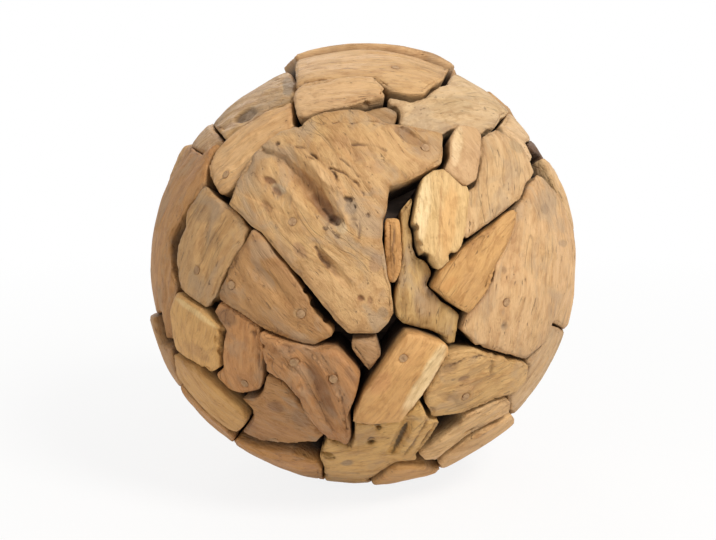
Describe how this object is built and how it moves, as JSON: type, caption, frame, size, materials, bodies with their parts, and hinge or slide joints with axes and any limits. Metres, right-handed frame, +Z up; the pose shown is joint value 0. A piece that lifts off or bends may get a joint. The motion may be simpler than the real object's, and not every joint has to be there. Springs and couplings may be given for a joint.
{
  "type": "root wood ball",
  "caption": "Decorative ball of irregular root wood slabs set edge to edge round a core, with open seams, furrows and peg ends.",
  "frame": {"origin": "centre of the ball", "axes": "+Z up as the picture shows the ball, +Y away from the side that it shows, +X to the right of it"},
  "size_m": [0.2969, 0.3036, 0.3031],
  "materials": {
    "root_wood": "sanded, unsealed",
    "pale_wood": "sanded, unsealed",
    "core_wood": "dark, matt",
    "peg_wood": "sanded flush"
  },
  "bodies": {
    "root": {"core": "core_wood", "pegs": "peg_wood", "heart_slab": "root_wood", "temple_plank": "root_wood", "upper_left_rim_slab": "root_wood", "left_rim_slab": "root_wood", "left_shoulder_sliver": "root_wood", "crest_plank": "root_wood", "top_rim_slab": "root_wood", "brow_plank": "root_wood", "neck_chip": "root_wood", "upper_right_slab": "root_wood", "right_shoulder_sliver": "root_wood", "right_rear_sliver": "root_wood", "right_gap_splint": "root_wood", "cheek_block": "pale_wood", "right_temple_slab": "root_wood", "pale_blade": "pale_wood", "sunken_neck": "root_wood", "short_stick": "root_wood", "amber_wedge": "root_wood", "right_rim_slab": "root_wood", "right_lower_slab": "root_wood", "lower_right_rim_slab": "root_wood", "long_lower_slab": "root_wood", "bottom_right_rim_slab": "root_wood", "bottom_rim_slab": "root_wood", "forked_root": "root_wood", "chock": "root_wood", "pale_plank": "pale_wood", "ridge_slab": "root_wood", "bottom_left_slab": "root_wood", "bottom_left_rim_slab": "root_wood", "lower_left_rim_slab": "root_wood", "lower_left_plank": "pale_wood", "left_lower_rim_slab": "root_wood", "left_lower_slab": "root_wood", "left_pale_patch": "pale_wood", "left_wedge_slab": "root_wood", "left_middle_slab": "root_wood", "back_heart_slab": "root_wood", "back_top_left_slab": "root_wood", "back_left_temple_slab": "root_wood", "back_top_slab": "root_wood", "back_top_right_slab": "root_wood", "back_right_temple_slab": "root_wood", "back_right_shoulder_slab": "root_wood", "back_right_slab": "root_wood", "back_cheek_slab": "root_wood", "back_right_hip_slab": "root_wood", "back_belly_slab": "root_wood", "back_lower_right_slab": "root_wood", "back_bottom_right_slab": "root_wood", "back_lower_belly_slab": "root_wood", "base_slab": "root_wood", "back_bottom_left_slab": "root_wood", "back_left_hip_slab": "root_wood", "back_lower_left_slab": "root_wood", "back_left_slab": "root_wood", "back_left_shoulder_slab": "root_wood"}
  },
  "joints": []
}
